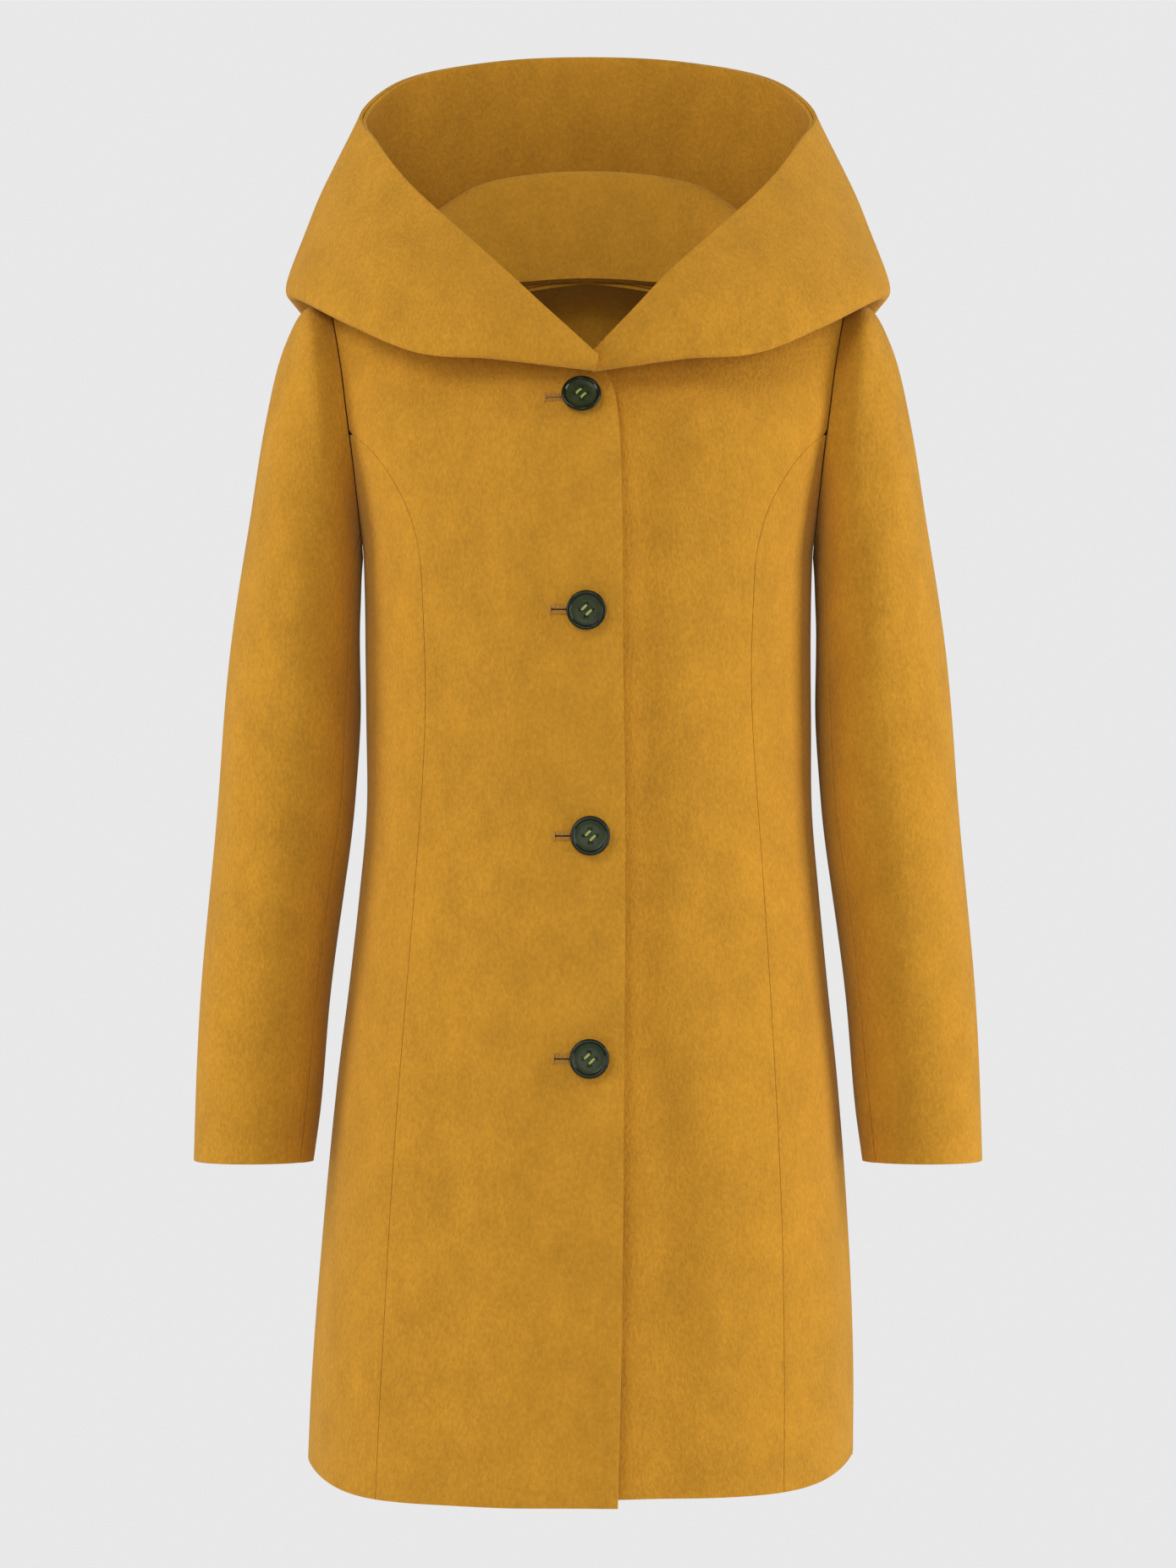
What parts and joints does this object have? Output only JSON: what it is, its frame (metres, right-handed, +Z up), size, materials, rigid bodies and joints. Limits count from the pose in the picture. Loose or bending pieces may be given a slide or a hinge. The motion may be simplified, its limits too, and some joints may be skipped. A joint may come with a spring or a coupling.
{
  "type": "hooded coat",
  "caption": "Thigh-length fitted wool coat with a wide draped hood, princess seams, set-in sleeves and a single-breasted button front.",
  "frame": {"origin": "middle of the neck opening, level with the back neck seam, where the coat hangs from the shoulders of its wearer or a hanger", "axes": "+Z up, the front faces -Y, +X to the wearer's left"},
  "size_m": [0.5758, 0.3206, 1.0627],
  "materials": {
    "wool": "brushed mustard wool with a soft short nap",
    "lining": "satin lining in a darker mustard",
    "wadding": "felted polyester wadding",
    "button": "polished dark olive resin with a paler turned rim",
    "thread": "mustard buttonhole thread",
    "button_thread": "twisted olive thread that holds the buttons"
  },
  "bodies": {
    "body": {"front_right": "wool", "side_front_right": "wool", "back_right": "wool", "side_back_right": "wool", "facing_right": "wool", "lining_front_right": "lining", "lining_back_right": "lining", "shoulder_pad_right": "wadding", "front_left": "wool", "side_front_left": "wool", "back_left": "wool", "side_back_left": "wool", "facing_left": "wool", "lining_front_left": "lining", "lining_back_left": "lining", "shoulder_pad_left": "wadding", "back_neck_facing": "wool", "hood_shell_right": "wool", "hood_facing_right": "wool", "hood_shell_left": "wool", "hood_facing_left": "wool", "button_shank_1": "button_thread", "buttonhole_stitching_1": "thread", "button_shank_2": "button_thread", "buttonhole_stitching_2": "thread", "button_shank_3": "button_thread", "buttonhole_stitching_3": "thread", "button_shank_4": "button_thread", "buttonhole_stitching_4": "thread"},
    "sleeve_right": {"sleeve_upper_right": "wool", "sleeve_under_right": "wool", "sleeve_lining_right": "lining"},
    "sleeve_left": {"sleeve_upper_left": "wool", "sleeve_under_left": "wool", "sleeve_lining_left": "lining"},
    "hood_back": {"hood_shell_back": "wool", "hood_facing_back": "wool"},
    "hanger_loop": {"hanger_loop": "lining"},
    "button_1": {"button_1": "button"},
    "button_2": {"button_2": "button"},
    "button_3": {"button_3": "button"},
    "button_4": {"button_4": "button"}
  },
  "joints": [
    {"name": "sleeve_right_raise", "type": "hinge", "parent": "body", "child": "sleeve_right", "pos_m": [-0.189, 0, -0.031], "axis": [0, 1, 0], "range_deg": [0, 18]},
    {"name": "sleeve_left_raise", "type": "hinge", "parent": "body", "child": "sleeve_left", "pos_m": [0.189, 0, -0.031], "axis": [0, -1, 0], "range_deg": [0, 18]},
    {"name": "hood_raise", "type": "hinge", "parent": "body", "child": "hood_back", "pos_m": [0, 0.025, -0.012], "axis": [1, 0, 0], "range_deg": [0, 35]},
    {"name": "hanger_loop_lift", "type": "hinge", "parent": "body", "child": "hanger_loop", "pos_m": [0, 0.093, -0.046], "axis": [-1, 0, 0], "range_deg": [0, 80]},
    {"name": "button_1_tilt", "type": "hinge", "parent": "body", "child": "button_1", "pos_m": [-0.0048, -0.1165, -0.1025], "axis": [1, 0, 0], "range_deg": [-9, 9], "stiffness_Nm_per_rad": 0.01},
    {"name": "button_2_tilt", "type": "hinge", "parent": "body", "child": "button_2", "pos_m": [-0.0012, -0.138, -0.2562], "axis": [1, 0, 0], "range_deg": [-9, 9], "stiffness_Nm_per_rad": 0.01},
    {"name": "button_3_tilt", "type": "hinge", "parent": "body", "child": "button_3", "pos_m": [0.0016, -0.134, -0.4168], "axis": [1, 0, 0], "range_deg": [-9, 9], "stiffness_Nm_per_rad": 0.01},
    {"name": "button_4_tilt", "type": "hinge", "parent": "body", "child": "button_4", "pos_m": [0.001, -0.1463, -0.5748], "axis": [1, 0, 0], "range_deg": [-9, 9], "stiffness_Nm_per_rad": 0.01}
  ]
}
